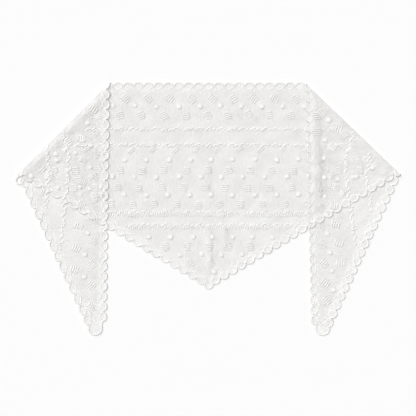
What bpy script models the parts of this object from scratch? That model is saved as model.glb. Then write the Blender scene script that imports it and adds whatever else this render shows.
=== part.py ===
"""Lace shawl, laid flat with both long ends folded forward over its middle.

Metres, +Z up. It lies on Z = 0 with its long edge at the back (+Y) and its point at the front (-Y), and the
origin is under the middle of the whole. Each piece is drawn on the flat cut, a wide triangle, and the pieces
of the two ends are then folded over the body and let down past its lower edge.
"""

import math
from collections import namedtuple

import bmesh
import bpy
from mathutils import Matrix, Vector

# The flat cut. x runs along the long edge from its middle, and y is 0 on the long edge and less below it.
KNEE_X = 0.440  # each fold ends on the lower edge here
KNEE_DEPTH = 0.2132
DEPTH = 0.475  # long edge to the point below

# The lace and its scalloped edging
WALL = 0.0012
SEAM = 0.0003  # left between pieces that are joined
EDGING = 0.022  # seam to the scallops' tops
NOTCH = 0.0085  # how far the notches between scallops reach in
SCALLOP_STEPS = 6  # straight steps round one scallop
TOP_SCALLOPS = 33  # from the middle of the long edge to the tip
TOP_PITCH = 0.02333
RUN_ON = 0.045  # how far a strip of edging runs on past its last scallop, to be trimmed there
TIP_REACH = 0.0935  # middle of the blunt tip to the sharp corner
TIP_RADIUS = 0.0155
TIP_TURNS = (-50, -25, 0, 25, 50)  # degrees round the tip
POINT_BLUNT = 0.003  # trimmed off the sharp point below

# The two folds, and how an end lies once it's folded
FOLD_RADIUS = 0.0020  # to the middle of the wall
FOLD_STEPS = 6
GIVE_REACH = 0.15  # the lace's give is spread over this much of the end
GIVE_STEPS = 3
DROP_START = 0.006  # past the body's edge, where the end starts to come down
DROP_RUN = 0.026
DROP_STEPS = 5

# Raised work: bobbles and leaves in rows, and the zigzag lines that border the two plain bands
REPEAT = 0.0508  # between bobbles along a row
BOBBLE_RADIUS = 0.0043
BOBBLE_HEIGHT = 0.0025
BOBBLE_SIDES = 8
BOBBLE_CLEAR = 0.006  # bobble's centre to a fold or a seam, at least
LEAF_LENGTH = 0.0180
LEAF_WIDTH = 0.0140
LEAF_SIDES = 8
LEAF_HEIGHT = 0.0007
LEAF_CLEAR = 0.0095
ZIGZAG = 0.0127  # between the zigzag's turns
LINE_WIDTH = 0.0032
LINE_HEIGHT = 0.0008
LINE_SWING = 0.0026  # the zigzag's reach to each side
LINE_CLEAR = 0.004
SINK = 0.0004  # how deep raised work sits in the wall, so that the two join

Fold = namedtuple("Fold", "name side start span give body_scallops end_scallops")
FOLDS = (  # the long edge's middle to the fold and to the sharp corner, the lace's give in degrees, and the
    # lower edge's scallops up to the fold and beyond it
    Fold("left", -1, 0.2250, 0.8860, 0.3, 21, 14),
    Fold("right", 1, 0.2180, 0.8800, -0.8, 22, 17),
)

BobbleRow = namedtuple("BobbleRow", "depth shift right")
BOBBLE_ROWS = (  # depth below the long edge, shift in repeats, and how tight the repeats are on the right
    BobbleRow(0.0563, 0.60, 0.95),
    BobbleRow(0.1780, 0.14, 1.00),
    BobbleRow(0.2175, 0.60, 1.00),
    BobbleRow(0.2590, 0.12, 1.00),
    BobbleRow(0.3535, 0.20, 1.00),
    BobbleRow(0.3930, 0.62, 1.00),
    BobbleRow(0.4330, 0.20, 1.00),
)

LeafRow = namedtuple("LeafRow", "depth shift right tilt")
LEAF_ROWS = (  # as above, with the leaves' tilt in degrees
    LeafRow(0.0405, 0.22, 0.95, 42),
    LeafRow(0.0795, 0.93, 0.95, 14),
    LeafRow(0.2000, 0.92, 1.00, 36),
    LeafRow(0.2385, 0.46, 1.00, 4),
    LeafRow(0.2775, 0.24, 1.00, 28),
    LeafRow(0.3720, 0.50, 1.00, 2),
    LeafRow(0.4150, 0.10, 1.00, 34),
)
LINE_DEPTHS = (0.108, 0.143, 0.298, 0.328)

LACE_COLOUR = (0.84, 0.83, 0.81, 1.0)
EDGING_COLOUR = (0.88, 0.87, 0.85, 1.0)
ROUGHNESS = 0.9

Line = namedtuple("Line", "point along out")  # out is square to along
INSIDE = Vector((0, -DEPTH / 2))  # a point in the middle of the body


def line(start, end, inside=INSIDE):
    """The straight line through two points, with its outward side away from a point inside."""
    along = (end - start).normalized()
    out = Vector((along.y, -along.x))
    if out.dot(inside - start) > 0:
        out.negate()
    return Line(start, along, out)


def moved(edge, distance):
    """A line shifted outwards."""
    return Line(edge.point + edge.out * distance, edge.along, edge.out)


def flipped(edge):
    """The same line with its outward side on the other side."""
    return Line(edge.point, edge.along, -edge.out)


def past(edge, point):
    """How far a point lies beyond a line, on its outward side."""
    return (point - edge.point).dot(edge.out)


def crossing(first, second):
    """Where two lines meet."""
    return first.point - first.along * (past(second, first.point) / first.along.dot(second.out))


def knee(fold):
    """The lower end of a fold, on the lower edge."""
    return Vector((fold.side * KNEE_X, -KNEE_DEPTH))


def sharp_tip(fold):
    """The flat cut's corner, from which the round tip is trimmed."""
    return Vector((fold.side * fold.span, 0))


def top_edge():
    """The long edge, from its middle."""
    return line(Vector((0, 0)), Vector((1, 0)))


def body_edge(fold):
    """The body's lower edge, from the point up to the fold."""
    return line(Vector((0, -DEPTH)), knee(fold))


def end_edge(fold):
    """The lower edge's last stretch, from the fold to the tip."""
    return line(knee(fold), sharp_tip(fold))


def fold_line(fold):
    """The fold, from the long edge down, with its outward side towards the end that is folded over."""
    return line(Vector((fold.side * fold.start, 0)), knee(fold))


def tip_line(fold):
    """The line that halves the tip. Its outward side is the long edge's."""
    corner = sharp_tip(fold)
    inwards = Vector((-fold.side, 0)) + (knee(fold) - corner).normalized()
    return line(corner, corner + inwards, knee(fold))


def tip_trims(fold):
    """The lines that blunt the tip: tangents of a circle between its two edges."""
    halver = tip_line(fold)
    centre = halver.point + halver.along * TIP_REACH
    for turn in TIP_TURNS:
        out = Matrix.Rotation(math.radians(turn), 2) @ -halver.along
        yield Line(centre + out * TIP_RADIUS, Vector((-out.y, out.x)), out)


def folded(fold, point):
    """Where a point of a flat end lies once the end is folded over the body."""
    crease = fold_line(fold)
    offset = Vector((point.x, point.y)) - crease.point
    reach = offset.dot(crease.out)
    lift = point.z - WALL / 2
    turn = min(reach / FOLD_RADIUS, math.pi)
    beyond = max(0.0, reach - math.pi * FOLD_RADIUS)
    across = (FOLD_RADIUS - lift) * math.sin(turn) - beyond
    height = WALL / 2 + FOLD_RADIUS * (1 - math.cos(turn)) + lift * math.cos(turn)
    flat = crease.along * offset.dot(crease.along) + crease.out * across
    down = (past(body_edge(fold), crease.point + flat) - DROP_START) / DROP_RUN
    down = min(1.0, max(0.0, down))
    height -= 2 * FOLD_RADIUS * down * down * (3 - 2 * down)
    give = math.radians(fold.give) * min(1.0, beyond / GIVE_REACH)
    spot = crease.point + Matrix.Rotation(fold.side * give, 2) @ flat
    return Vector((spot.x, spot.y, height))


def drop_line(fold, distance):
    """The flat cut's line that lies a distance past the body's lower edge once the end is folded."""
    crease = fold_line(fold)
    edge = body_edge(fold)
    slope_across = -crease.out.dot(edge.out)
    out = crease.along * crease.along.dot(edge.out) + crease.out * slope_across
    start = past(edge, crease.point) - math.pi * FOLD_RADIUS * slope_across
    return Line(crease.point + out * (distance - start), Vector((-out.y, out.x)), out)


def flat_solid(points, low, high):
    """A closed solid of a flat outline, as a bmesh."""
    curve = bpy.data.curves.new("outline", "CURVE")
    curve.dimensions = "2D"
    curve.fill_mode = "BOTH"
    curve.extrude = (high - low) / 2
    spline = curve.splines.new("POLY")
    spline.points.add(len(points) - 1)
    for place, point in zip(spline.points, points):
        place.co = (point.x, point.y, 0, 1)
    spline.use_cyclic_u = True
    guide = bpy.data.objects.new("outline", curve)
    bpy.context.scene.collection.objects.link(guide)
    depsgraph = bpy.context.evaluated_depsgraph_get()
    mesh = bpy.data.meshes.new_from_object(guide.evaluated_get(depsgraph))
    bm = bmesh.new()
    bm.from_mesh(mesh)
    bmesh.ops.remove_doubles(bm, verts=bm.verts, dist=0.00001)
    bmesh.ops.translate(bm, verts=bm.verts, vec=(0, 0, (low + high) / 2))
    bpy.data.objects.remove(guide)
    bpy.data.curves.remove(curve)
    bpy.data.meshes.remove(mesh)
    return bm


def cut(bm, edge, trim=False):
    """Cuts a solid along a line of the flat cut, and with trim drops what lies beyond it."""
    found = bmesh.ops.bisect_plane(
        bm,
        geom=bm.verts[:] + bm.edges[:] + bm.faces[:],
        dist=0.000001,
        plane_co=edge.point.to_3d(),
        plane_no=edge.out.to_3d(),
        clear_outer=trim,
    )
    if trim:
        rim = [item for item in found["geom_cut"] if isinstance(item, bmesh.types.BMEdge)]
        bmesh.ops.holes_fill(bm, edges=rim, sides=0)


def fold_over(bm, fold):
    """Folds a flat piece of an end over, cut first along the lines where it bends."""
    crease = fold_line(fold)
    arc = math.pi * FOLD_RADIUS
    for step in range(1, FOLD_STEPS + 1):
        cut(bm, moved(crease, arc * step / FOLD_STEPS))
    for step in range(1, GIVE_STEPS + 1):
        cut(bm, moved(crease, arc + GIVE_REACH * step / GIVE_STEPS))
    for step in range(DROP_STEPS + 1):
        cut(bm, drop_line(fold, DROP_START + DROP_RUN * step / DROP_STEPS))
    bmesh.ops.triangulate(bm, faces=bm.faces)
    for vert in bm.verts:
        vert.co = folded(fold, vert.co)


def mesh_object(name, bm):
    """A new object that holds the solid, its faces turned outwards."""
    bmesh.ops.triangulate(bm, faces=bm.faces)
    bmesh.ops.recalc_face_normals(bm, faces=bm.faces)
    mesh = bpy.data.meshes.new(name)
    bm.to_mesh(mesh)
    bm.free()
    piece = bpy.data.objects.new(name, mesh)
    bpy.context.scene.collection.objects.link(piece)
    return piece


def joined(bm, raised):
    """The union of a panel and its raised work."""
    panel = mesh_object("panel", bm)
    work = mesh_object("raised work", raised)
    union = panel.modifiers.new("union", "BOOLEAN")
    union.operation = "UNION"
    union.object = work
    depsgraph = bpy.context.evaluated_depsgraph_get()
    whole = bpy.data.meshes.new_from_object(panel.evaluated_get(depsgraph))
    result = bmesh.new()
    result.from_mesh(whole)
    bpy.data.meshes.remove(whole)
    for piece in (panel, work):
        mesh = piece.data
        bpy.data.objects.remove(piece)
        bpy.data.meshes.remove(mesh)
    return result


def add_to(bm, extra):
    """Adds one bmesh's bodies to another."""
    mesh = bpy.data.meshes.new("raised work")
    extra.to_mesh(mesh)
    extra.free()
    bm.from_mesh(mesh)
    bpy.data.meshes.remove(mesh)


def bobble(spot, face):
    """A half ball on the wall's upper side, where face is 1, or on its lower side, where face is -1."""
    ball = bmesh.new()
    bmesh.ops.create_uvsphere(ball, u_segments=BOBBLE_SIDES, v_segments=4, radius=BOBBLE_RADIUS)
    under = [vert for vert in ball.verts if vert.co.z < -BOBBLE_RADIUS / 4]
    bmesh.ops.delete(ball, geom=under, context="VERTS")
    bmesh.ops.holes_fill(ball, edges=[edge for edge in ball.edges if edge.is_boundary], sides=0)
    base = WALL - SINK if face > 0 else SINK
    stretch = face * (BOBBLE_HEIGHT + SINK) / BOBBLE_RADIUS
    place = Matrix.Translation((spot.x, spot.y, base)) @ Matrix.Diagonal((1, 1, stretch, 1))
    bmesh.ops.transform(ball, matrix=place, verts=ball.verts)
    return ball


def raised_solid(outline, height, face):
    """A flat outline, raised this much from the wall's upper side, where face is 1, or from its lower side."""
    if face > 0:
        return flat_solid(outline, WALL - SINK, WALL + height)
    return flat_solid(outline, -height, SINK)


def leaf(spot, tilt, face):
    """A low oval pad."""
    tilted = Matrix.Rotation(math.radians(tilt), 2)
    outline = []
    for side in range(LEAF_SIDES):
        turn = 2 * math.pi * side / LEAF_SIDES
        point = Vector((LEAF_LENGTH / 2 * math.cos(turn), LEAF_WIDTH / 2 * math.sin(turn)))
        outline.append(spot + tilted @ point)
    return raised_solid(outline, LEAF_HEIGHT, face)


def zigzag_line(depth, reach, face):
    """A raised zigzag parallel to the long edge, this far to each side of the middle."""
    turns = range(-math.ceil(reach / ZIGZAG), math.ceil(reach / ZIGZAG) + 1)
    middle = [Vector((turn * ZIGZAG, LINE_SWING * (1 - 2 * (turn % 2)) - depth)) for turn in turns]
    half_width = Vector((0, LINE_WIDTH / 2))
    outline = [spot + half_width for spot in middle] + [spot - half_width for spot in reversed(middle)]
    return raised_solid(outline, LINE_HEIGHT, face)


def row_places(row, reach, edges, clearance):
    """The middles of a row's motifs that are this far inside these edges."""
    repeats = math.ceil(reach / REPEAT / row.right)
    spots = []
    for step in range(-repeats, repeats + 1):
        run = (step + row.shift) * REPEAT
        spots.append(Vector((run * row.right if run > 0 else run, -row.depth)))
    return [spot for spot in spots if all(past(edge, spot) < -clearance for edge in edges)]


def raised_work(edges, face):
    """All bobbles, leaves and lines that lie inside these edges, on one side of the wall."""
    work = bmesh.new()
    reach = max(abs(crossing(first, second).x) for first, second in zip(edges, edges[1:] + edges[:1]))
    for row in BOBBLE_ROWS:
        for spot in row_places(row, reach, edges, BOBBLE_CLEAR):
            add_to(work, bobble(spot, face))
    for row in LEAF_ROWS:
        for spot in row_places(row, reach, edges, LEAF_CLEAR):
            add_to(work, leaf(spot, row.tilt, face))
    for depth in LINE_DEPTHS:
        strip = zigzag_line(depth, reach, face)
        for edge in edges:
            cut(strip, moved(edge, -LINE_CLEAR), trim=True)
        add_to(work, strip)
    return work


def panel(name, edges, fold=None):
    """The lace inside these edges, with its raised work on the side that shows."""
    outline = [crossing(first, second) for first, second in zip(edges, edges[1:] + edges[:1])]
    bm = joined(flat_solid(outline, 0, WALL), raised_work(edges, -1 if fold else 1))
    if fold:
        fold_over(bm, fold)
    return mesh_object(name, bm)


def edging(name, edge, pitch, tops, trims, fold=None):
    """A scalloped strip along an edge, from one scallop's top to another's, trimmed at its ends."""
    first, last = tops
    points = [Vector((first * pitch - RUN_ON, 0))]
    for number in range(first, last + 1):
        for step in range(SCALLOP_STEPS + 1):
            turn = math.pi * step / SCALLOP_STEPS
            points.append(Vector(((number - math.cos(turn) / 2) * pitch, NOTCH * (math.sin(turn) - 1))))
    half = SCALLOP_STEPS // 2
    del points[1 : 1 + half]
    del points[-half:]
    points.append(Vector((last * pitch + RUN_ON, 0)))
    seam = SEAM / 2 - EDGING
    points += [Vector((points[-1].x, seam)), Vector((points[0].x, seam))]
    outline = [edge.point + edge.along * spot.x + edge.out * spot.y for spot in points]
    bm = flat_solid(outline, 0, WALL)
    for trim in trims:
        cut(bm, trim, trim=True)
    if fold:
        fold_over(bm, fold)
    return mesh_object(name, bm)


def build_body():
    """The middle of the lace and its edging."""
    left, right = FOLDS
    seam = -EDGING - SEAM / 2
    folds = [moved(fold_line(fold), -SEAM / 2) for fold in (left, right)]
    edges = [
        moved(top_edge(), seam),
        folds[1],
        moved(body_edge(right), seam),
        moved(body_edge(left), seam),
        folds[0],
    ]
    yield panel("centre_panel", edges), LACE_COLOUR
    slope = (knee(right) - Vector((0, -DEPTH))).length
    tops = (-TOP_SCALLOPS, TOP_SCALLOPS)
    yield edging("edging_top", top_edge(), TOP_PITCH, tops, folds), EDGING_COLOUR
    for fold, crease in zip(FOLDS, folds):
        middle = Line(Vector((fold.side * SEAM / 2, 0)), Vector((0, 1)), Vector((-fold.side, 0)))
        blunt = Line(Vector((0, POINT_BLUNT - DEPTH)), Vector((1, 0)), Vector((0, -1)))
        trims = (crease, middle, blunt)
        name = f"edging_lower_{fold.name}"
        pitch = slope / fold.body_scallops
        yield edging(name, body_edge(fold), pitch, (0, fold.body_scallops), trims), EDGING_COLOUR


def build_end(fold):
    """One folded end and the edging on its two sides."""
    seam = -EDGING - SEAM / 2
    crease = flipped(moved(fold_line(fold), SEAM / 2))
    edges = [moved(top_edge(), seam), moved(end_edge(fold), seam), crease]
    yield panel(f"{fold.name}_end", edges, fold), LACE_COLOUR
    halver = tip_line(fold)
    round_tip = list(tip_trims(fold))
    tops = (0, TOP_SCALLOPS) if fold.side > 0 else (-TOP_SCALLOPS, 0)
    trims = [crease, flipped(moved(halver, SEAM / 2)), *round_tip]
    name = f"edging_{fold.name}_inner"
    yield edging(name, top_edge(), TOP_PITCH, tops, trims, fold), EDGING_COLOUR
    last_scallop = fold.span - TOP_SCALLOPS * TOP_PITCH
    end_pitch = ((sharp_tip(fold) - knee(fold)).length - last_scallop) / fold.end_scallops
    trims = [crease, moved(halver, -SEAM / 2), *round_tip]
    name = f"edging_{fold.name}_outer"
    yield edging(name, end_edge(fold), end_pitch, (0, fold.end_scallops), trims, fold), EDGING_COLOUR


def finish(piece, colour):
    """Gives a piece its own material."""
    material = bpy.data.materials.new(piece.name)
    material.use_nodes = True
    shader = material.node_tree.nodes["Principled BSDF"]
    shader.inputs["Base Color"].default_value = colour
    shader.inputs["Roughness"].default_value = ROUGHNESS
    shader.inputs["Metallic"].default_value = 0.0
    piece.data.materials.clear()
    piece.data.materials.append(material)


def centre(pieces):
    """Moves all pieces so that the origin is under the middle of the whole."""
    spots = [vert.co for piece in pieces for vert in piece.data.vertices]
    middle_x = (min(spot.x for spot in spots) + max(spot.x for spot in spots)) / 2
    middle_y = (min(spot.y for spot in spots) + max(spot.y for spot in spots)) / 2
    for piece in pieces:
        piece.data.transform(Matrix.Translation((-middle_x, -middle_y, 0)))


def main():
    for old in list(bpy.data.objects):
        bpy.data.objects.remove(old)
    shawl = bpy.data.collections.new("lace_shawl")
    bpy.context.scene.collection.children.link(shawl)
    pieces = []
    for group in (build_body(), *(build_end(fold) for fold in FOLDS)):
        for piece, colour in group:
            finish(piece, colour)
            bpy.context.scene.collection.objects.unlink(piece)
            shawl.objects.link(piece)
            pieces.append(piece)
    centre(pieces)


main()
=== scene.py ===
"""The looks of the lace shawl, which lies flat with both long ends folded forward over its middle.

Everything is drawn on the flat cut, a wide triangle: x runs along the long edge from its middle, y is 0 on
the long edge and less below it, and a third number is the lift towards the side that shows. lay() then folds
the two ends over and settles the lace on the floor.
"""

import math
from collections import namedtuple

import bpy
import numpy as np
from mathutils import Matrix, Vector
from mathutils.geometry import delaunay_2d_cdt


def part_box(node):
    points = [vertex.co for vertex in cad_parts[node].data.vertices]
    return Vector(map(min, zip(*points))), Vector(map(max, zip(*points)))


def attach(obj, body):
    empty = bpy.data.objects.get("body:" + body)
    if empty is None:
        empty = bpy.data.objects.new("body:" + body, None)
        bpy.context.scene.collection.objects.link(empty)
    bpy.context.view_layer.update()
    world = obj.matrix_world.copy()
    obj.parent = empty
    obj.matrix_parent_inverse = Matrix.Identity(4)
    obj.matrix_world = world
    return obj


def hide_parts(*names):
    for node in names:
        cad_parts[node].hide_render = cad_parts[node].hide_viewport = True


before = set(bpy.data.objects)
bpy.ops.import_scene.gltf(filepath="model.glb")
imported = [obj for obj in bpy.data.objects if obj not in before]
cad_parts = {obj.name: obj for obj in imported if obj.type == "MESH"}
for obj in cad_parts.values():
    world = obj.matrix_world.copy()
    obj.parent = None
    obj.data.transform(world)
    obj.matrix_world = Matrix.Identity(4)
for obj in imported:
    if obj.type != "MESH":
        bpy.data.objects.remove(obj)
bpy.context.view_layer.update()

# The flat cut, in metres
KNEE = (0.440, -0.2132)  # each fold's lower end, on the lower edge
DEPTH = 0.475  # long edge to the point below

# The scalloped edging
EDGING = 0.022  # seam to the scallops' tops
NOTCH = 0.0085
SCALLOP_WIDTH = 0.84  # of its pitch; the rims round it take up the rest
KNEE_LOOP = (-0.4365, 0.0655)  # the scallop that sticks out at the left fold's lower end, in the frame
LOOP_RADIUS = 0.0086
LOOP_STEPS = 20
TOP_SCALLOPS = 33  # from the middle of the long edge to the tip
TOP_PITCH = 0.02333
TIP_REACH = 0.0935  # middle of the blunt tip to the sharp corner
TIP_RADIUS = 0.0155
TIP_SHIFT = 0.0050  # towards the lower edge
TIP_TURN = 104  # degrees round the tip, to each side
TIP_STEPS = 16
POINT_RADIUS = 0.0095  # of the scallop at the point below
POINT_TURN = 118  # degrees round it, to each side
POINT_CLEAR = 0.0160  # from the point, where the next scallops start
SCALLOP_STEPS = 10
UV_SPAN = 1.8  # a little more than the whole cut

# How the lace lies
FLOOR_LIFT = 0.0011  # floor to the middle of the net
FOLD_RADIUS = 0.0019
FOLD_STEPS = 8
GIVE_REACH = 0.15
GIVE_ROUNDS = 3  # of correction, to undo what the lace gives
SETTLE = 0.0024  # the ends lie this much lower away from the fold
SETTLE_REACH = 0.05
DROP_RUN = 0.0036  # past the body's scallops, where an end comes down to the floor
RIM_RISE = 0.0016  # the ends lie higher over the body's rim
RIM_REACH = 0.0018
BOBBLE_RISE = 0.0016  # and over its bobbles
BOBBLE_REACH = 0.0064
SWELL = 0.0007  # half the height of the lace's own unevenness
RUMPLE = 0.00034  # the unevenness of an end that lies on the body
RUMPLE_LEVEL = 0.8  # what it varies around, in its own size
OVER_RUN = 0.01  # past a fold, until the end lies quite flat on the body
LIP_WIDTH = 0.022  # of the strip along an end's long edge that lies higher or lower
LIP_RUN = 0.03
DRAW_DOWN = 0.09  # down from the long edge, to where an end's lace is drawn up in full
DRAW_CLEAR = 0.01  # the strip along the lower edge that isn't drawn up
DRAW_FADE = 0.12  # the strip beside it, where the drawing up sets in
DRAW_RUN = 0.07  # the same past the fold
DRAW_ROUNDS = 6  # of correction, to undo it
PRESS = 0.0015  # how far the body's cords press up where an end lies on them
GRID = 0.0050  # between the sheet's points
FINE_GRID = 0.0022  # the same where an end lies on the body
FINE_REACH = 0.010
ROW_STEP = 0.866  # a grid's rows, in its steps
STEP_ROWS = (-0.0016, -0.0005, 0.0006, 0.0018, 0.0032)  # rows of points past the body's scallops
DOME_RINGS = ((0.45, 6), (0.82, 12), (0.98, 12), (1.12, 12))  # over a bobble: shares of its reach, and points
DOME_CLEAR = 1.25  # the fine grid stays this share of the reach away
FOLD_ROW_STEP = 0.7  # the points of a fold's rows, in steps of the grid
FOLD_ROW_PAST = 0.004  # and how far the rows run on
SEAM_STEP = 0.006
JOIN = 1e-7  # points this close count as one
KEEP_INSIDE = 1  # the triangulation keeps what lies inside the outline

Fold = namedtuple("Fold", "side start span give draw lip body_scallops end_scallops")
# The long edge's middle to the fold and to the sharp corner, the lace's give in degrees, how far it is drawn
# up, how far its edge stands up, and the lower edge's scallops up to the fold and beyond it.
FOLDS = (
    Fold(-1, 0.2250, 0.8860, 0.3, 0.0195, -0.0007, 21, 14),
    Fold(1, 0.2180, 0.8800, -0.8, 0.0235, 0.0, 22, 17),
)

# The lace's unevenness is two trains of waves that cross, in radians a metre. Each is bent by a slower one,
# sway and drift radians to each side.
Waves = namedtuple("Waves", "across slant sway sway_down down drift drift_across start")
SWELL_WAVES = Waves(67, 0, 3, 31, 81, 2, 23, 1)
COARSE_WAVES = Waves(330, 0, 2.2, 190, 300, 2, 170, 1)
FINE_WAVES = Waves(560, 240, 3, 90, 610, 2, 120, 0)

RIDGE_RISE = 0.15  # the share of its length over which a ridge rises
RIDGE_FALL = 0.3  # and falls
RIDGE_FOOT = 0.3  # how far it has risen where it starts
RIDGE_VARY = 0.3  # the share by which its height varies
RIDGE_WAVES = 165  # and how quickly, in radians a metre
# Ridges in the lace as it lies, in the frame. The far side of each is the one away from the light.
Ridge = namedtuple("Ridge", "layer start end height near far")
RIDGES = (
    Ridge("body", (0.0020, 0.130), (0.0030, 0.002), 0.0015, 0.018, 0.003),
    Ridge("body", (0.0030, -0.036), (0.0040, -0.145), 0.0024, 0.009, 0.004),
    Ridge("body", (0.0385, -0.038), (0.0365, -0.098), 0.0022, 0.008, 0.004),
    Ridge("right", (0.244, 0.270), (0.256, 0.000), 0.0030, 0.020, 0.008),
    Ridge("right", (0.244, 0.262), (0.424, 0.086), 0.0014, 0.008, 0.010),
    Ridge("left", (-0.2280, 0.262), (-0.2365, -0.030), 0.0014, 0.020, 0.010),
    Ridge("left", (-0.234, 0.270), (-0.425, 0.083), 0.0020, 0.009, 0.014),
)

# The motifs
REPEAT = 0.0508
REPEATS = 18  # to each side
BOBBLE_SIZE = (0.0056, 0.0056, 0.0017)  # half its width, length and height
BOBBLE_SPREAD = 0.08  # the share by which their sizes differ
BOBBLE_LIFT = 0.0007
BOBBLE_FOOT = -0.0006  # its flat underside, from the net's middle
BOBBLE_BUMP = 0.035
BUMP_WAVES = 4
BUMP_TURN = 3.5  # radians across half a bobble
BALL_RINGS = 7
BALL_SIDES = 12
BALL_THREAD = 0.01  # thread that its bumps show, from its middle to its side
EDGING_CLEAR = 0.002  # a motif's centre to the edging, at least
FOLD_CLEAR = 0.011
JITTER = 0.0014  # how far a motif strays from its place
RIGHT_END = 0.90  # the repeats on the right end are tighter still
TAKE_UP = 0.0022  # what the crease in the middle takes up of each side

BobbleRow = namedtuple("BobbleRow", "depth shift right")
BOBBLE_ROWS = (  # depth below the long edge, shift in repeats, and how tight the repeats are on the right
    BobbleRow(0.0545, 0.60, 0.95),
    BobbleRow(0.1780, 0.14, 1.00),
    BobbleRow(0.2175, 0.60, 1.00),
    BobbleRow(0.2590, 0.12, 1.00),
    BobbleRow(0.3570, 0.25, 0.905),
    BobbleRow(0.3970, 0.66, 0.93),
    BobbleRow(0.4375, 0.29, 1.00),
)
PRESSED_BOBBLES = (  # bobbles of the body that show through a folded end, in the frame's coordinates
    (-0.352, 0.126),
    (-0.350, 0.112),
    (-0.306, 0.129),
    (-0.327, 0.089),
    (-0.348, 0.048),
    (-0.297, 0.050),
    (-0.249, 0.050),
    (0.294, 0.147),
    (0.298, 0.068),
    (0.341, 0.074),
    (0.377, 0.094),
)
PRESSED_LEAVES = (  # the same for its leaves
    (-0.324, 0.154),
    (-0.294, 0.161),
    (-0.365, 0.074),
    (-0.300, 0.068),
    (-0.262, 0.027),
    (-0.246, 0.131),
    (0.252, 0.214),
    (0.250, 0.177),
    (0.287, 0.189),
    (0.313, 0.170),
    (0.283, 0.140),
    (0.287, 0.085),
    (0.315, 0.106),
    (0.343, 0.112),
    (0.313, 0.043),
)
LeafRow = namedtuple("LeafRow", "depth shift right tilt strokes gap")
LEAF_ROWS = (  # as above, with the strokes' tilt in degrees, their number and how far apart they are
    LeafRow(0.0380, 0.22, 0.95, 46, 4, 0.0052),
    LeafRow(0.0760, 0.93, 0.96, 14, 4, 0.0048),
    LeafRow(0.1560, 0.45, 1.00, 40, 2, 0.0044),
    LeafRow(0.2035, 0.92, 1.00, 4, 4, 0.0043),
    LeafRow(0.2430, 0.80, 1.00, 2, 4, 0.0043),
    LeafRow(0.2815, 0.49, 1.00, 0, 4, 0.0044),
    LeafRow(0.3780, 0.97, 0.98, 2, 5, 0.0040),
    LeafRow(0.4180, 0.14, 1.00, 34, 4, 0.0046),
)
TILT_SPREAD = 12
LEAF_HALF = 0.0096  # half a middle stroke's length
LEAF_TAPER = 0.0014  # what each stroke beside it is shorter by, at each end
LEAF_STRAY = 0.0008
LEAF_BOW = (0.0006, 0.0026)
LEAF_STEPS = 7
LEAF_LIFT = 0.0010
PRESSED_STROKES = 4
PRESSED_GAP = 0.0046
PRESSED_TILT = 40  # degrees, to either side

LineRow = namedtuple("LineRow", "depth stitches length")
LINE_ROWS = (  # depth below the long edge, the upright stitches in each group, and half their length
    LineRow(0.1065, 2, 0.0028),
    LineRow(0.143, 3, 0.0032),
    LineRow(0.298, 10, 0.0070),
    LineRow(0.328, 10, 0.0060),
)
CURL = REPEAT / 2  # from one large curl of a line to the next
CURL_STRAY = 0.0010
CURL_SCALES = (0.85, 1.05)
CURL_HALF = 0.0086  # half a large curl's length
CURL_RISE = (0.0020, 0.0034)
CURL_BEND = 2.4  # radians from its middle to its end
CURL_RIPPLE = 0.0012
RIPPLE_BEND = 5
COMMA_HALF = 0.0030  # half a small curl's length
COMMA_RISE = 0.0016
COMMA_BOW = 0.0014
COMMA_PLACES = (-0.0016, 0.0022)  # across the line
STITCH_START = 0.0040  # from a large curl's middle
STITCH_GAP = 0.0051
STITCH_LEAN = 0.0016
STITCH_DROP = 0.8  # its middle below the line, in half lengths
STITCH_STRAY = 0.0020
STITCH_SCALES = (0.7, 1.05)
SHARES = np.linspace(-1, 1, 9)  # of half a curl or stitch, from its middle
LINE_LIFT = 0.0006
LINE_PAST_SEAM = 0.002
LINE_FOLD_CLEAR = 0.001

# The edging's cords
RIM_LIFT = 0.0005
ARC_DEPTH = 0.0074
ARC_LIFT = 0.0002
CHAIN_LINE = 0.0150  # in from the scallops' tops
CHAIN_SWAY = 0.0052
CORD_STEPS = 12  # in a scallop
EDGE_SLACK = 0.0005  # where two edges are about as near
CORD_END = 0.35  # of its thickness, at either end of a cord

Cord = namedtuple("Cord", "half_width half_height sides")
RIM = Cord(0.0020, 0.0012, 8)
ARC = Cord(0.0011, 0.0006, 6)
CHAIN = Cord(0.0008, 0.0005, 5)
STROKE = Cord(0.0014, 0.0007, 6)
CURL_CORD = Cord(0.0015, 0.0012, 6)
STITCH = Cord(0.0013, 0.0009, 5)

# The net, with each noise in waves a metre
NET_CELL = 0.0021
NET_STRAY = 0.0009
STRAY_NOISE = 160
PANEL_THREAD = 0.28  # half a thread's share of a cell
EDGING_THREAD = 0.25
THREAD_SPREAD = 0.03
THREAD_NOISE = 60
THREAD_SOFT = 0.03
NOISE_RANGE = (0.3, 0.7)  # what a noise mostly stays in
MOTTLE_RANGE = (0.35, 0.65)  # the same for two of them, averaged
STREAK_NOISE = (300, 90, 0)
STREAK_BUMP = 1.5
PATCH_NOISE = 26
NET_BUMP = 0.0008

# The cords' thread
TWIST = 900  # strands to the metre
TWIST_BUMP = 0.0002
TINT_NOISE = 90
# The left side of a cord, painted darker as painted shade; on the rim that is its outer side.
PAINTED_SHADE_SIDE = (0.7, 1.0)  # of the way round a cord

# Each material's darkest and lightest tint
PANEL_TINTS = (0.86, 0.85, 0.83), (0.95, 0.945, 0.93)
EDGING_TINTS = (0.95, 0.94, 0.925), (0.985, 0.98, 0.965)
THREAD_TINTS = (0.95, 0.945, 0.93), (0.99, 0.985, 0.97)
DIM_TINTS = (0.90, 0.89, 0.87), (0.96, 0.955, 0.94)
# The rim's darkest tint is where its painted shade goes; the rest of its range is tone that varies at random.
RIM_TINTS = (0.83, 0.82, 0.81), (0.975, 0.97, 0.955)
FLOOR_TINT = (0.86, 0.86, 0.86)

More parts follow.
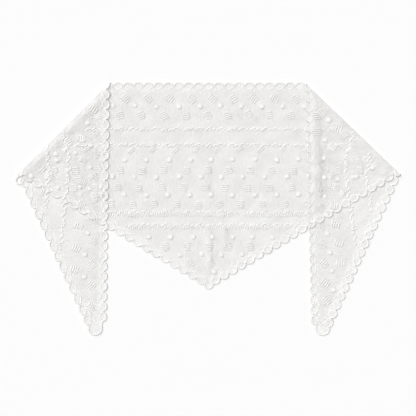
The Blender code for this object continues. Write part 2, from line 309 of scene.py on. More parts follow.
# The photograph's frame and the camera
PIXEL = 0.00231  # one pixel of the 416 pixel frame, on the floor
FRAME_PIXELS = 416
FRAME_MIDDLE = (-0.65, 0.7)  # the frame's middle, in pixels from the shawl's
CAMERA_HEIGHT = 3.2
SENSOR = 36.0
FLOOR_SIZE = 14.0

# The light
SKY = 0.21
LIGHTS = (  # name, strength, how wide in degrees, and the way it shines
    ("key", 1.46, 50, (1.15, -0.9, -1.42)),
    ("top", 1.90, 60, (0.1, -0.1, -1)),
)

rng = np.random.default_rng(7)

Line = namedtuple("Line", "point along out")


def line(start, end):
    """The straight line through two points, with its outward side away from the body's middle."""
    start = np.array(start, float)
    along = np.array(end, float) - start
    along /= np.linalg.norm(along)
    out = np.array((along[1], -along[0]))
    if out @ (np.array((0, -DEPTH / 2)) - start) > 0:
        out = -out
    return Line(start, along, out)


def past(edge, points):
    """How far points lie beyond a line, on its outward side."""
    return (points - edge.point) @ edge.out


def knee(fold):
    """The fold's lower end."""
    return np.array((fold.side * KNEE[0], KNEE[1]))


def sharp_tip(fold):
    """Where the long edge and the lower edge would meet, had the tip not been rounded."""
    return np.array((fold.side * fold.span, 0.0))


def fold_line(fold):
    """The fold, from the long edge down, with its outward side towards the end."""
    return line((fold.side * fold.start, 0), knee(fold))


def top_edge():
    return line((0, 0), (1, 0))


def body_edge(fold):
    return line((0, -DEPTH), knee(fold))


def end_edge(fold):
    return line(knee(fold), sharp_tip(fold))


def middle_shift():
    """Where the flat cut's zero point lies in the frame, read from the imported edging."""
    left_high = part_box("edging_lower_left")[1]
    right_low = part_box("edging_lower_right")[0]
    top_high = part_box("edging_top")[1]
    return np.array(((left_high[0] + right_low[0]) / 2, top_high[1]))


SHIFT = middle_shift()


def body_pitch(fold):
    """The width of the scallops on the body's lower edge."""
    return math.hypot(KNEE[0], DEPTH + KNEE[1]) / fold.body_scallops


def end_pitch(fold):
    """The width of the scallops on a folded end's lower edge."""
    last_scallop = fold.span - TOP_SCALLOPS * TOP_PITCH
    return (math.hypot(fold.span - KNEE[0], KNEE[1]) - last_scallop) / fold.end_scallops


def smooth(share):
    """0 to 1 with a soft start and end, as share goes from 0 to 1."""
    share = np.clip(share, 0, 1)
    return share * share * (3 - 2 * share)


def face_of(points):
    """1 for points on the body and -1 for points on a folded end."""
    face = np.ones(len(points))
    for fold in FOLDS:
        face[past(fold_line(fold), points[:, :2]) > 0] = -1
    return face


def crossing_waves(waves, points):
    """Two trains of waves that cross, from -1 to 1."""
    x, y = points[:, 0], points[:, 1]
    first = x * waves.across - y * waves.slant + waves.sway * np.sin(y * waves.sway_down)
    second = y * waves.down + waves.drift * np.sin(x * waves.drift_across + waves.start)
    return np.sin(first) * np.sin(second)


def swell(points):
    """The lace's own soft unevenness as it lies, always upwards from the floor."""
    return SWELL * (1 + crossing_waves(SWELL_WAVES, points))


def rumple(points):
    """The unevenness of an end that lies on the body's own raised work."""
    waves = crossing_waves(COARSE_WAVES, points) + crossing_waves(FINE_WAVES, points)
    return RUMPLE * (RUMPLE_LEVEL + waves)


def past_scallops(points):
    """How far points lie beyond the body's scalloped lower edge."""
    beyond = []
    for fold in FOLDS:
        edge = body_edge(fold)
        run = (points - edge.point) @ edge.along / body_pitch(fold)
        share = np.minimum(1, 2 * np.abs(run - np.round(run)) / SCALLOP_WIDTH)
        beyond.append(past(edge, points) - NOTCH * (np.sqrt(1 - share**2) - 1))
    return np.maximum(*beyond)


def ridges(layer, points):
    """How far this layer's ridges lift the lace."""
    lift = np.zeros(len(points))
    for ridge in RIDGES:
        if ridge.layer != layer:
            continue
        start = np.array(ridge.start)
        along = np.array(ridge.end) - start
        length = np.linalg.norm(along)
        along /= length
        share = (points - start) @ along / length
        across = (points - start) @ np.array((-along[1], along[0]))
        width = np.where(across > 0, ridge.far, ridge.near)
        fade = smooth(share / RIDGE_RISE + RIDGE_FOOT) * smooth((1 - share) / RIDGE_FALL + RIDGE_FOOT)
        fade *= 1 + RIDGE_VARY * np.sin(share * length * RIDGE_WAVES + 1)
        lift += ridge.height * fade * np.exp(-((across / width) ** 2))
    return lift


def past_edges(points):
    """How far points lie beyond the nearest edge of their own panel, less than 0 inside."""
    beyond = past(top_edge(), points)
    on_body = face_of(points) > 0
    for fold in FOLDS:
        on_end = past(fold_line(fold), points) > 0
        beyond = np.where(on_body, np.maximum(beyond, past(body_edge(fold), points)), beyond)
        beyond = np.where(on_end, np.maximum(beyond, past(end_edge(fold), points)), beyond)
    return beyond


def clear_of_edges(points, clearance, fold_clearance):
    """True for points inside the edging and away from both folds."""
    clear = past_edges(points) < -EDGING - clearance
    for fold in FOLDS:
        reach = past(fold_line(fold), points)
        clear &= (reach < -fold_clearance) | (reach > fold_clearance + math.pi * FOLD_RADIUS / 2)
    return clear


def motif_places(rows):
    """The middles of all motifs in these rows, slightly uneven."""
    places = []
    for row in rows:
        run = (np.arange(-REPEATS, REPEATS + 1) + row.shift) * REPEAT
        run = np.where(run > 0, run * row.right, run)
        crease = FOLDS[1].start + (KNEE[0] - FOLDS[1].start) * row.depth / -KNEE[1]
        run = np.where(run > crease, crease + (run - crease) * RIGHT_END, run)
        spots = np.column_stack([run, np.full(len(run), -row.depth)])
        places.append(spots[clear_of_edges(spots, EDGING_CLEAR, FOLD_CLEAR)])
    places = np.concatenate(places)
    places[:, 0] -= TAKE_UP * np.sign(places[:, 0])
    return places + rng.uniform(-JITTER, JITTER, places.shape)


BOBBLES = motif_places(BOBBLE_ROWS)


def over_bobbles(points):
    """1 over the middle of one of the body's bobbles, and 0 away from them."""
    nearest = np.full(len(points), np.inf)
    for place in BOBBLES[face_of(BOBBLES) > 0]:
        nearest = np.minimum(nearest, np.hypot(*(points - place).T))
    return np.sqrt(np.maximum(0, 1 - (nearest / BOBBLE_REACH) ** 2))


def drawn_in(fold, points):
    """Points of a folded end, moved towards its curled edge, which takes up some of the lace beside it."""
    pull = fold.draw * smooth(-points[:, 1] / DRAW_DOWN)
    pull *= smooth((-past(end_edge(fold), points) - DRAW_CLEAR) / DRAW_FADE)
    pull *= smooth(past(fold_line(fold), points) / DRAW_RUN)
    return points + np.column_stack([np.zeros(len(points)), pull])


def turned(fold, offsets, beyond, way=1):
    """Offsets from the fold's start, turned by what the lace gives this far beyond the fold, or back."""
    angle = way * fold.side * math.radians(fold.give) * np.minimum(1, beyond / GIVE_REACH)
    cos, sin = np.cos(angle), np.sin(angle)
    x, y = offsets.T
    return np.column_stack([x * cos - y * sin, x * sin + y * cos])


def unfolded(fold, laid):
    """The points of the flat cut that come to lie on these once the end is folded."""
    crease = fold_line(fold)
    offsets = laid - crease.point
    spots = offsets
    for _ in range(GIVE_ROUNDS):
        spots = turned(fold, offsets, np.maximum(0, -spots @ crease.out), -1)
    reach = math.pi * FOLD_RADIUS - spots @ crease.out
    target = crease.point + (spots @ crease.along)[:, None] * crease.along + reach[:, None] * crease.out
    flat = target
    for _ in range(DRAW_ROUNDS):
        flat = flat + target - drawn_in(fold, flat)
    return flat


def lay(points):
    """Moves points of the flat cut to where they lie in the frame."""
    points = np.asarray(points, float)
    flat, lift = points[:, :2], points[:, 2]
    result = np.empty_like(points)
    result[:, :2] = flat + SHIFT
    result[:, 2] = FLOOR_LIFT + swell(flat) + lift + ridges("body", result[:, :2])
    for fold in FOLDS:
        crease = fold_line(fold)
        there = past(crease, flat) > 0
        # First round the fold, then flat beyond it
        offset = drawn_in(fold, flat[there]) - crease.point
        reach, rise = offset @ crease.out, lift[there]
        turn = np.minimum(reach / FOLD_RADIUS, math.pi)
        beyond = np.maximum(0, reach - math.pi * FOLD_RADIUS)
        across = (FOLD_RADIUS - rise) * np.sin(turn) - beyond
        along = offset @ crease.along
        spots = along[:, None] * crease.along + across[:, None] * crease.out
        laid = crease.point + turned(fold, spots, beyond)
        # The height over the floor: as deep as the fold, less past the body's edge, and more over raised work
        edge = past_scallops(laid)
        over = smooth(beyond / OVER_RUN)
        depth = FOLD_RADIUS * (1 - np.cos(turn)) - SETTLE * smooth(beyond / SETTLE_REACH)
        lip = fold.lip * (1 - smooth(-flat[there, 1] / LIP_WIDTH)) * smooth(beyond / LIP_RUN)
        depth += lip + over * rumple(laid)
        height = FLOOR_LIFT + rise * np.cos(turn) + depth * (1 - smooth(edge / DROP_RUN))
        height += over * (RIM_RISE * np.exp(-((edge / RIM_REACH) ** 2)) + BOBBLE_RISE * over_bobbles(laid))
        result[there, :2] = laid + SHIFT
        height += swell(laid) + over * ridges("left" if fold.side < 0 else "right", result[there, :2])
        result[there, 2] = height
    return result


Row = namedtuple("Row", "edge pitch count low high")


def edging_rows():
    """Each straight row of scallops: its line, their width and number, and what it runs on past its first and
    last scallop's tops, in scallops."""
    left, right = FOLDS
    start = line((-TOP_SCALLOPS * TOP_PITCH, 0), (0, 0))
    rows = [Row(start, TOP_PITCH, 2 * TOP_SCALLOPS, 0.5, 0.5)]
    for fold in (right, left):
        rows.append(Row(end_edge(fold), end_pitch(fold), fold.end_scallops, 0, 0.5))
        rows.append(Row(body_edge(fold), body_pitch(fold), fold.body_scallops, 0, 0))
    return rows


def scallops(row, inset=0.0):
    """Points round a row of scallops."""
    points = []
    for number in range(row.count + 1):
        for step in range(SCALLOP_STEPS + 1):
            turn = math.pi * step / SCALLOP_STEPS
            share = number - math.cos(turn) / 2 * SCALLOP_WIDTH
            if -row.low <= share <= row.count + row.high:
                points.append((share * row.pitch, NOTCH * (math.sin(turn) - 1) - inset))
    points = np.array(points)
    return row.edge.point + points[:, :1] * row.edge.along + points[:, 1:] * row.edge.out


def tip_arc(fold):
    """The round end of the blunt tip, from the long edge to the lower one."""
    corner = sharp_tip(fold)
    low = knee(fold) - corner
    inwards = np.array((-fold.side, 0.0)) + low / np.linalg.norm(low)
    inwards /= np.linalg.norm(inwards)
    across = np.array((-inwards[1], inwards[0])) * -fold.side
    turns = np.radians(np.linspace(-TIP_TURN, TIP_TURN, TIP_STEPS))[:, None]
    middle = corner + inwards * TIP_REACH - across * TIP_SHIFT
    return middle + TIP_RADIUS * (np.sin(turns) * -across - np.cos(turns) * inwards)


def point_arc():
    """The scallop at the point below, from right to left."""
    turns = np.radians(np.linspace(POINT_TURN, -POINT_TURN, TIP_STEPS))
    return np.column_stack([np.sin(turns), -np.cos(turns)]) * POINT_RADIUS + (0, POINT_RADIUS - DEPTH)


def off_point(points):
    """The points that are clear of the scallop at the point."""
    return points[np.hypot(points[:, 0], points[:, 1] + DEPTH) > POINT_CLEAR]


def outline():
    """The whole flat cut's outline, as one closed loop of points."""
    left, right = FOLDS
    top, right_end, right_body, left_end, left_body = [scallops(row) for row in edging_rows()]
    return np.concatenate(
        [
            top,
            tip_arc(right),
            right_end[::-1],
            off_point(right_body[::-1][1:]),
            point_arc(),
            off_point(left_body),
            left_end[1:],
            tip_arc(left)[::-1],
        ]
    )


OUTLINE = outline()


def inside_outline(points, loop):
    """True for points inside a closed loop."""
    inside = np.zeros(len(points), bool)
    for (x0, y0), (x1, y1) in zip(loop, np.roll(loop, -1, axis=0)):
        if y0 == y1:
            continue
        crosses = (points[:, 1] < y0) != (points[:, 1] < y1)
        reach = x0 + (points[:, 1] - y0) / (y1 - y0) * (x1 - x0)
        inside ^= crosses & (points[:, 0] < reach)
    return inside


def covered(points):
    """True for points of the body that have a folded end on them."""
    under = np.zeros(len(points), bool)
    for fold in FOLDS:
        flat = unfolded(fold, points)
        inside = (past(top_edge(), flat) < -NOTCH / 2) & (past(end_edge(fold), flat) < -NOTCH / 2)
        under |= inside & (past(fold_line(fold), flat) > math.pi * FOLD_RADIUS)
    return under & (face_of(points) > 0)


def new_mesh(name, points, faces, uvs):
    """A new object from laid points. uvs is one pair for each point."""
    mesh = bpy.data.meshes.new(name)
    mesh.from_pydata(points.tolist(), [], [tuple(face) for face in faces])
    layer = mesh.uv_layers.new(name="cut")
    corners = np.empty(len(mesh.loops), np.int32)
    mesh.loops.foreach_get("vertex_index", corners)
    layer.data.foreach_set("uv", np.asarray(uvs, np.float32)[corners].ravel())
    mesh.shade_smooth()
    obj = bpy.data.objects.new(name, mesh)
    bpy.context.scene.collection.objects.link(obj)
    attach(obj, "root")
    return obj


def crossing(first, second):
    """Where two lines cross."""
    steps = np.linalg.solve(np.column_stack([first.along, -second.along]), second.point - first.point)
    return first.point + first.along * steps[0]


def seam():
    """The closed loop where the panels meet the edging, with a point every few millimetres."""
    left, right = FOLDS
    edges = [top_edge(), end_edge(right), body_edge(right), body_edge(left), end_edge(left)]
    inner = [edge._replace(point=edge.point - edge.out * EDGING) for edge in edges]
    corners = [crossing(first, second) for first, second in zip(inner, inner[1:] + inner[:1])]
    points = []
    for start, end in zip(corners, corners[1:] + corners[:1]):
        count = round(np.linalg.norm(end - start) / SEAM_STEP)
        points += [start + (end - start) * step / count for step in range(count)]
    return np.array(points)


SEAM = seam()


def even_grid(step):
    """Points all over the cut, in rows that are offset by half a step."""
    xs = np.arange(-UV_SPAN / 2, UV_SPAN / 2, step)
    ys = np.arange(-DEPTH, 0, step * ROW_STEP)
    grid = np.stack(np.meshgrid(xs, ys), -1)
    grid[1::2, :, 0] += step / 2
    return grid.reshape(-1, 2)


def on_body(points):
    """Where points come to lie on the body, as the body's own points, and True for those that do."""
    laid = lay(np.column_stack([points, np.zeros(len(points))]))[:, :2] - SHIFT
    return laid, (face_of(points) < 0) & (past_scallops(laid) < FINE_REACH)


def step_points(fold):
    """Points of a folded end in rows along the body's scallops, where it comes down."""
    row = Row(body_edge(fold), body_pitch(fold), fold.body_scallops, 0, 0)
    return unfolded(fold, np.concatenate([scallops(row, -distance) for distance in STEP_ROWS]))


def dome_points(fold):
    """Points of a folded end in rings over the body's bobbles."""
    spots = []
    for place in BOBBLES[covered(BOBBLES)]:
        spots.append(place[None])
        for radius, count in DOME_RINGS:
            turns = np.arange(count) * 2 * math.pi / count
            spots.append(place + BOBBLE_REACH * radius * np.stack([np.cos(turns), np.sin(turns)], 1))
    return unfolded(fold, np.concatenate(spots))


def sheet_points():
    """The sheet's inner points: an even grid, a finer one where an end lies on the body, and rows round
    each fold."""
    coarse, fine = even_grid(GRID), even_grid(FINE_GRID)
    coarse = coarse[~on_body(coarse)[1]]
    laid, chosen = on_body(fine)
    beyond = past_scallops(laid)
    chosen &= (beyond < STEP_ROWS[0] - FINE_GRID / 2) | (beyond > STEP_ROWS[-1] + FINE_GRID / 2)
    for place in BOBBLES[covered(BOBBLES)]:
        chosen &= np.hypot(*(laid - place).T) > BOBBLE_REACH * DOME_CLEAR
    inner = np.concatenate([coarse, fine[chosen]])
    arc = math.pi * FOLD_RADIUS
    for fold in FOLDS:
        reach = past(fold_line(fold), inner)
        inner = inner[(reach < -GRID / 3) | (reach > arc + GRID / 3)]
    for fold in FOLDS:
        crease = fold_line(fold)
        extra = np.concatenate([step_points(fold), dome_points(fold)])
        inner = np.concatenate([inner, extra[past(crease, extra) > arc + GRID / 3]])
        length = np.linalg.norm(knee(fold) - crease.point)
        runs = np.arange(-FOLD_ROW_PAST, length + FOLD_ROW_PAST, GRID * FOLD_ROW_STEP)
        for step in range(FOLD_STEPS + 1):
            out = crease.out * arc * step / FOLD_STEPS
            inner = np.concatenate([inner, crease.point + runs[:, None] * crease.along + out])
    inner = inner[inside_outline(inner, OUTLINE)]
    gap = np.full(len(inner), np.inf)
    for point in np.concatenate([OUTLINE, SEAM]):
        gap = np.minimum(gap, np.hypot(*(inner - point).T))
    return inner[gap > FINE_GRID / 2]


def net_sheets():
    """The net of the panels and of the edging, from one sheet of the whole cut with its ends folded over."""
    points = [Vector(point) for loop in (OUTLINE, SEAM, sheet_points()) for point in loop]
    first = len(OUTLINE)
    edges = [(first + number, first + (number + 1) % len(SEAM)) for number in range(len(SEAM))]
    found = delaunay_2d_cdt(points, edges, [list(range(first))], KEEP_INSIDE, JOIN)
    flat = np.array([tuple(point) for point in found[0]])
    faces = np.array(found[2])
    in_panel = inside_outline(flat[faces].mean(1), SEAM)
    laid = lay(np.column_stack([flat, np.zeros(len(flat))]))
    sheets = []
    for name, chosen in (("panel_net", in_panel), ("edging_net", ~in_panel)):
        used, corners = np.unique(faces[chosen], return_inverse=True)
        uvs = flat[used] / UV_SPAN + (0.5, 1.0)
        sheets.append(new_mesh(name, laid[used], corners.reshape(-1, 3).tolist(), uvs))
    return sheets


def tube_faces(first, length, sides, closed):
    """The faces of one cord, whose rings of points start at this number."""
    faces = []
    for step in range(length if closed else length - 1):
        here = first + step * sides
        there = first + (step + 1) % length * sides
        for side in range(sides):
            beside = (side + 1) % sides
            faces.append((here + side, here + beside, there + beside, there + side))
    if not closed:
        end = first + (length - 1) * sides
        faces.append(tuple(first + side for side in reversed(range(sides))))
        faces.append(tuple(end + side for side in range(sides)))
    return faces


def tubes(name, paths, cord, closed=False):
    """Cords along paths of the flat cut, each a list of (x, y, lift) points, joined as one object. A uv is
    the way along the cord, and 0 on the cord's right side to 1 on its left."""
    points, faces, uvs = [], [], []
    sides = cord.sides
    turns = np.arange(sides) * 2 * math.pi / sides
    count = 0
    for path in paths:
        path = np.asarray(path, float)
        ahead = np.roll(path, -1, 0)[:, :2] - np.roll(path, 1, 0)[:, :2]
        if not closed:
            ahead[0] = path[1, :2] - path[0, :2]
            ahead[-1] = path[-1, :2] - path[-2, :2]
        ahead /= np.linalg.norm(ahead, axis=1)[:, None]
        across = np.stack([ahead[:, 1], -ahead[:, 0]], 1)
        steps = np.linalg.norm(np.diff(path[:, :2], axis=0), axis=1)
        run = np.concatenate([[0], np.cumsum(steps)])
        ring = np.repeat(path[:, None, :], sides, 1)
        size = np.ones(len(path))
        if not closed:
            size[[0, -1]] = CORD_END
        reach = cord.half_width * np.cos(turns) * size[:, None]
        ring[:, :, :2] += across[:, None, :] * reach[:, :, None]
        ring[:, :, 2] += cord.half_height * np.sin(turns) * size[:, None]
        points.append(ring.reshape(-1, 3))
        around = np.broadcast_to((1 - np.cos(turns)) / 2, (len(path), sides))
        uvs.append(np.stack([np.repeat(run, sides), around.ravel()], 1))
        faces += tube_faces(count, len(path), sides, closed)
        count += len(path) * sides
    return new_mesh(name, lay(np.concatenate(points)), faces, np.concatenate(uvs))


def with_lift(path, lift=0.0):
    """Adds a lift towards the side that shows to flat points, and more under the folded ends."""
    path = np.asarray(path, float)
    return np.column_stack([path, face_of(path) * lift + PRESS * covered(path)])


def unit_ball(rings, sides):
    """The points and faces of a ball of radius 1."""
    tilt = np.linspace(0, math.pi, rings + 2)[1:-1]
    turns = np.arange(sides) * 2 * math.pi / sides
    ball = [(0, 0, 1)]
    for angle in tilt:
        for turn in turns:
            ball.append((math.sin(angle) * math.cos(turn), math.sin(angle) * math.sin(turn), math.cos(angle)))
    ball.append((0, 0, -1))
    faces = [(0, 1 + side, 1 + (side + 1) % sides) for side in range(sides)]
    for ring in range(rings - 1):
        low = 1 + ring * sides
        for side in range(sides):
            beside = (side + 1) % sides
            faces.append((low + side, low + sides + side, low + sides + beside, low + beside))
    last = 1 + (rings - 1) * sides
    foot = len(ball) - 1
    faces += [(last + (side + 1) % sides, last + side, foot) for side in range(sides)]
    return np.array(ball), faces


def bobbles():
    """Small round knots of thread, on the side that shows."""
    pressed = np.array(PRESSED_BOBBLES) - SHIFT
    left, right = [unfolded(fold, pressed[pressed[:, 0] * fold.side > 0]) for fold in FOLDS]
    places = np.concatenate([BOBBLES, left, right])
    ball, faces = unit_ball(BALL_RINGS, BALL_SIDES)
    points, all_faces, uvs = [], [], []
    for number, place in enumerate(lay(np.column_stack([places, np.zeros(len(places))]))):
        waves = ball @ rng.normal(0, BUMP_TURN, (3, BUMP_WAVES)) + rng.uniform(0, 6, BUMP_WAVES)
        bumps = 1 + BOBBLE_BUMP * np.sin(waves).sum(1)
        size = np.array(BOBBLE_SIZE) * rng.uniform(1 - BOBBLE_SPREAD, 1 + BOBBLE_SPREAD)
        shape = ball * size * bumps[:, None]
        shape[:, 2] = np.maximum(shape[:, 2] + BOBBLE_LIFT, BOBBLE_FOOT)
        points.append(place + shape)
        all_faces += [tuple(np.array(corner) + number * len(ball)) for corner in faces]
        uvs.append(np.column_stack([place[0] + ball[:, 0] * BALL_THREAD, ball[:, 2]]))
    return new_mesh("bobbles", np.concatenate(points), all_faces, np.concatenate(uvs))


def leaf(place, tilt, strokes, gap):
    """The flat paths of a leaf: a few bowed strokes side by side, the middle ones longer."""
    tilt = math.radians(tilt)
    along = np.array((math.cos(tilt), math.sin(tilt)))
    across = np.array((-along[1], along[0]))
    bow = rng.uniform(*LEAF_BOW)
    shares = np.linspace(-1, 1, LEAF_STEPS)[:, None]
    paths = []
    for number in np.arange(strokes) - (strokes - 1) / 2:
        half = LEAF_HALF - LEAF_TAPER * abs(number) + rng.uniform(-LEAF_STRAY, LEAF_STRAY)
        sideways = number * gap + bow * (1 - shares**2)
        paths.append(place + shares * half * along + sideways * across)
    return paths


def leaf_strokes():
    """The leaves in their rows, and the body's leaves that show through the folded ends."""
    paths = []
    for row in LEAF_ROWS:
        for place in motif_places([row]):
            tilt = row.tilt + rng.uniform(-TILT_SPREAD, TILT_SPREAD)
            paths += [with_lift(path, LEAF_LIFT) for path in leaf(place, tilt, row.strokes, row.gap)]
    for place in PRESSED_LEAVES:
        fold = FOLDS[0] if place[0] < 0 else FOLDS[1]
        tilt = rng.uniform(-PRESSED_TILT, PRESSED_TILT)
        for path in leaf(place - SHIFT, tilt, PRESSED_STROKES, PRESSED_GAP):
            paths.append(with_lift(unfolded(fold, path), LEAF_LIFT))
    return tubes("leaf_strokes", paths, STROKE)


def unbroken(path):
    """The path, if all of it is clear of the edging and the folds."""
    clear = clear_of_edges(path, -LINE_PAST_SEAM, LINE_FOLD_CLEAR).all()
    return [with_lift(path, LINE_LIFT)] if clear else []


def large_curl(place):
    """One long curl of a line, at this place."""
    rise = rng.uniform(*CURL_RISE)
    bend = rise * np.sin(SHARES * CURL_BEND) + CURL_RIPPLE * np.cos(SHARES * RIPPLE_BEND)
    wave = np.column_stack([CURL_HALF * SHARES, bend])
    return unbroken(place + wave * rng.uniform(*CURL_SCALES))


def small_curl(place):
    """One short curl, like a comma, halfway to the next long one."""
    middle = (CURL / 2 + rng.uniform(-CURL_STRAY, CURL_STRAY), rng.uniform(*COMMA_PLACES))
    comma = np.column_stack([COMMA_HALF * SHARES, COMMA_RISE * SHARES - COMMA_BOW * SHARES**2])
    return unbroken(place + middle + comma)


def upright_stitches(place, row):
    """A group of upright stitches that hang from a line."""
    stitches = []
    for stitch in range(row.stitches):
        drop = rng.uniform(-STITCH_STRAY, STITCH_STRAY) - row.length * STITCH_DROP
        foot = place + (STITCH_START + stitch * STITCH_GAP, drop)
        half = row.length * rng.uniform(*STITCH_SCALES)
        stitches += unbroken(foot + np.column_stack([STITCH_LEAN * SHARES, half * SHARES]))
    return stitches


def band_lines():
    """Along each border of the two plain bands: large and small curls, and groups of upright stitches."""
    curls, stitches = [], []
    for row in LINE_ROWS:
        for number in range(-2 * REPEATS, 2 * REPEATS + 1):
            place = np.array((number * CURL, -row.depth)) + rng.uniform(-CURL_STRAY, CURL_STRAY, 2)
            curls += large_curl(place) + small_curl(place)
            if number % 2 == 0:
                stitches += upright_stitches(place, row)
    return tubes("band_curls", curls, CURL_CORD), tubes("band_stitches", stitches, STITCH)


def nearest_edge(edge, points):
    """True for points that are nearer to this edge than to any other of their panel."""
    return past(edge, points) > past_edges(points) - EDGE_SLACK


def edging_cords():
    """The rim round all scallops, the arcs that close each scallop to a ring, and a chain behind them."""
    turns = np.linspace(0, 2 * math.pi, LOOP_STEPS, endpoint=False)[:, None]
    loop = np.array(KNEE_LOOP) - SHIFT + LOOP_RADIUS * np.hstack([np.cos(turns), -np.sin(turns)])
    rim = [with_lift(OUTLINE, RIM_LIFT), np.hstack([loop, np.full((len(loop), 1), RIM_LIFT)])]
    arcs, chains = [], []
    for edge, pitch, count, low, high in edging_rows():
        steps = round((low + count + high) * CORD_STEPS)
        run = np.linspace(-low * pitch, (count + high) * pitch, steps + 1)
        turn = run * math.pi / pitch
        rows = (
            (arcs, -NOTCH - ARC_DEPTH * np.abs(np.cos(turn)), ARC_LIFT),
            (chains, -CHAIN_LINE + CHAIN_SWAY * np.sin(turn), 0.0),
            (chains, -CHAIN_LINE - CHAIN_SWAY * np.sin(turn), 0.0),
        )
        for paths, depth, lift in rows:
            path = edge.point + run[:, None] * edge.along + depth[:, None] * edge.out
            path = path[nearest_edge(edge, path)]
            paths.append(with_lift(path, lift))
    return (
        tubes("edging_rim", rim, RIM, closed=True),
        tubes("edging_arcs", arcs, ARC),
        tubes("edging_chain", chains, CHAIN),
    )


class Nodes:
    """A material's nodes, with short calls for those used most."""

    def __init__(self, name):
        self.material = bpy.data.materials.new(name)
        self.material.use_nodes = True
        self.tree = self.material.node_tree
        self.shader = self.tree.nodes["Principled BSDF"]

    def add(self, kind, **settings):
        made = self.tree.nodes.new(kind)
        for key, value in settings.items():
            setattr(made, key, value)
        return made

    def link(self, source, target):
        self.tree.links.new(source, target)

    def feed(self, value, target):
        if isinstance(value, bpy.types.NodeSocket):
            self.link(value, target)
        else:
            target.default_value = value

    def math(self, operation, first, second=0.0):
        made = self.add("ShaderNodeMath", operation=operation)
        self.feed(first, made.inputs[0])
        self.feed(second, made.inputs[1])
        return made.outputs[0]

    def vector(self, operation, first, second=(0, 0, 0)):
        made = self.add("ShaderNodeVectorMath", operation=operation)
        self.feed(first, made.inputs[0])
        self.feed(second, made.inputs[1])
        return made.outputs[0]

    def noise(self, place, scale, detail=3.0):
        made = self.add("ShaderNodeTexNoise")
        self.link(place, made.inputs["Vector"])
        made.inputs["Scale"].default_value = scale
        made.inputs["Detail"].default_value = detail
        return made.outputs["Fac"]

    def range(self, value, low, high, new_low, new_high):
        made = self.add("ShaderNodeMapRange")
        self.link(value, made.inputs["Value"])
        names = ("From Min", "From Max", "To Min", "To Max")
        for name, number in zip(names, (low, high, new_low, new_high)):
            self.feed(number, made.inputs[name])
        return made.outputs["Result"]

    def split(self, vector):
        made = self.add("ShaderNodeSeparateXYZ")
        self.link(vector, made.inputs[0])
        return made.outputs

    def bump(self, height, distance):
        made = self.add("ShaderNodeBump")
        made.inputs["Distance"].default_value = distance
        self.link(height, made.inputs["Height"])
        self.link(made.outputs["Normal"], self.shader.inputs["Normal"])

    def tint(self, value, low, high):
        made = self.add("ShaderNodeMix", data_type="RGBA")
        self.link(value, made.inputs["Factor"])
        made.inputs["A"].default_value = (*low, 1)
        made.inputs["B"].default_value = (*high, 1)
        self.link(made.outputs["Result"], self.shader.inputs["Base Color"])


def set_cloth(nodes):
    nodes.shader.inputs["Roughness"].default_value = 0.85
    nodes.shader.inputs["Specular IOR Level"].default_value = 0.25
    nodes.shader.inputs["Sheen Weight"].default_value = 0.15


def hex_net(nodes, place):
    """Distance from the nearest cell's middle in a net of six-sided cells: 0.5 on the threads."""
    scaled = nodes.vector("MULTIPLY", place, (1 / NET_CELL, 1 / NET_CELL / math.sqrt(3), 0))
    nearest = None
    for shift in (0.0, 0.5):
        moved = nodes.vector("ADD", scaled, (shift, shift, 0))
        cell = nodes.vector("SUBTRACT", nodes.vector("FRACTION", moved), (0.5, 0.5, 0))
        x, y, _ = nodes.split(nodes.vector("ABSOLUTE", cell))
        slanted = nodes.math("ADD", nodes.math("MULTIPLY", x, 0.5), nodes.math("MULTIPLY", y, 1.5))
        reach = nodes.math("MAXIMUM", x, slanted)
        nearest = reach if nearest is None else nodes.math("MINIMUM", nearest, reach)
    return nearest


def net_material(name, thread, low, high):
    """Six-sided net. thread is half a thread's share of a cell."""
    nodes = Nodes(name)
    set_cloth(nodes)
    uv = nodes.add("ShaderNodeUVMap", uv_map="cut").outputs["UV"]
    place = nodes.vector("MULTIPLY", uv, (UV_SPAN, UV_SPAN, 0))
    wobble = nodes.add("ShaderNodeTexNoise")
    nodes.link(place, wobble.inputs["Vector"])
    wobble.inputs["Scale"].default_value = STRAY_NOISE
    stray = nodes.vector("MULTIPLY", wobble.outputs["Color"], (NET_STRAY, NET_STRAY, 0))
    net = hex_net(nodes, nodes.vector("ADD", place, stray))
    broad = nodes.noise(place, THREAD_NOISE, 2)
    streaks = nodes.noise(nodes.vector("MULTIPLY", place, STREAK_NOISE), 1, 2)
    width = nodes.range(broad, *NOISE_RANGE, thread - THREAD_SPREAD, thread + THREAD_SPREAD)
    inner = nodes.math("SUBTRACT", 0.5, width)
    solid = nodes.range(net, inner, nodes.math("ADD", inner, THREAD_SOFT), 0, 1)
    nodes.link(solid, nodes.shader.inputs["Alpha"])
    nodes.bump(nodes.math("ADD", net, nodes.math("MULTIPLY", streaks, STREAK_BUMP)), NET_BUMP)
    patches = nodes.noise(place, PATCH_NOISE, 3)
    mottle = nodes.math("ADD", nodes.math("MULTIPLY", streaks, 0.5), nodes.math("MULTIPLY", patches, 0.5))
    nodes.tint(nodes.range(mottle, *MOTTLE_RANGE, 0, 1), low, high)
    return nodes.material


def thread_material(name, low, high, painted_outer_shade=0.0):
    """Twisted white thread. Its last argument is how much darker its left side is painted, as painted shade.
    """
    nodes = Nodes(name)
    set_cloth(nodes)
    uv = nodes.add("ShaderNodeUVMap", uv_map="cut").outputs["UV"]
    run, side, _ = nodes.split(uv)
    twist = nodes.math("ADD", nodes.math("MULTIPLY", run, TWIST), nodes.math("MULTIPLY", side, 2))
    strand = nodes.math("ABSOLUTE", nodes.math("SINE", nodes.math("MULTIPLY", twist, math.pi)))
    nodes.bump(strand, TWIST_BUMP)
    position = nodes.add("ShaderNodeNewGeometry").outputs["Position"]
    # painted shade: the cord's left side is darkened towards the low tint
    shade = nodes.range(side, *PAINTED_SHADE_SIDE, 0, painted_outer_shade)
    nodes.tint(nodes.math("SUBTRACT", nodes.noise(position, TINT_NOISE), shade), low, high)
    return nodes.material


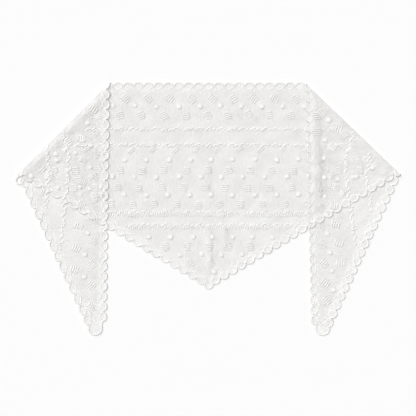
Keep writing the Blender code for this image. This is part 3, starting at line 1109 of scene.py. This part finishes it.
def floor():
    bpy.ops.mesh.primitive_plane_add(size=FLOOR_SIZE, location=(0, 0, 0))
    obj = bpy.context.object
    obj.name = "floor"
    nodes = Nodes("floor")
    nodes.shader.inputs["Roughness"].default_value = 0.9
    nodes.shader.inputs["Specular IOR Level"].default_value = 0.1
    nodes.shader.inputs["Base Color"].default_value = (*FLOOR_TINT, 1)
    obj.data.materials.append(nodes.material)


def camera():
    data = bpy.data.cameras.new("camera")
    obj = bpy.data.objects.new("camera", data)
    bpy.context.scene.collection.objects.link(obj)
    obj.location = (FRAME_MIDDLE[0] * PIXEL, FRAME_MIDDLE[1] * PIXEL, CAMERA_HEIGHT)
    data.sensor_width = SENSOR
    data.lens = SENSOR * CAMERA_HEIGHT / (FRAME_PIXELS * PIXEL)
    bpy.context.scene.camera = obj


def lights():
    world = bpy.data.worlds.new("studio")
    bpy.context.scene.world = world
    world.use_nodes = True
    world.node_tree.nodes["Background"].inputs["Color"].default_value = (1, 1, 1, 1)
    world.node_tree.nodes["Background"].inputs["Strength"].default_value = SKY
    for name, energy, angle, way in LIGHTS:
        data = bpy.data.lights.new(name, "SUN")
        data.energy = energy
        data.angle = math.radians(angle)
        obj = bpy.data.objects.new(name, data)
        obj.rotation_euler = Vector(way).to_track_quat("-Z", "Y").to_euler()
        bpy.context.scene.collection.objects.link(obj)
    bpy.context.scene.view_settings.view_transform = "Standard"


def main():
    panel_net, edging_net = net_sheets()
    panel_net.data.materials.append(net_material("panel_net", PANEL_THREAD, *PANEL_TINTS))
    edging_net.data.materials.append(net_material("edging_net", EDGING_THREAD, *EDGING_TINTS))
    thread = thread_material("lace_thread", *THREAD_TINTS)
    dim_thread = thread_material("dim_thread", *DIM_TINTS)
    # The rim's thread has painted shade on its outer side, which gives the scallops a dark outline.
    rim_thread_painted_shade = thread_material("rim_thread_painted_shade", *RIM_TINTS, 1.0)
    rim, arcs, chain = edging_cords()
    knots = bobbles()
    strokes = leaf_strokes()
    curls, stitches = band_lines()
    rim.data.materials.append(rim_thread_painted_shade)
    for piece in (arcs, chain, strokes, curls):
        piece.data.materials.append(thread)
    for piece in (knots, stitches):
        piece.data.materials.append(dim_thread)
    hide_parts(*[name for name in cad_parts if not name.startswith("edging")])
    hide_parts(*[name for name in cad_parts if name.startswith("edging")])
    floor()
    camera()
    lights()


main()
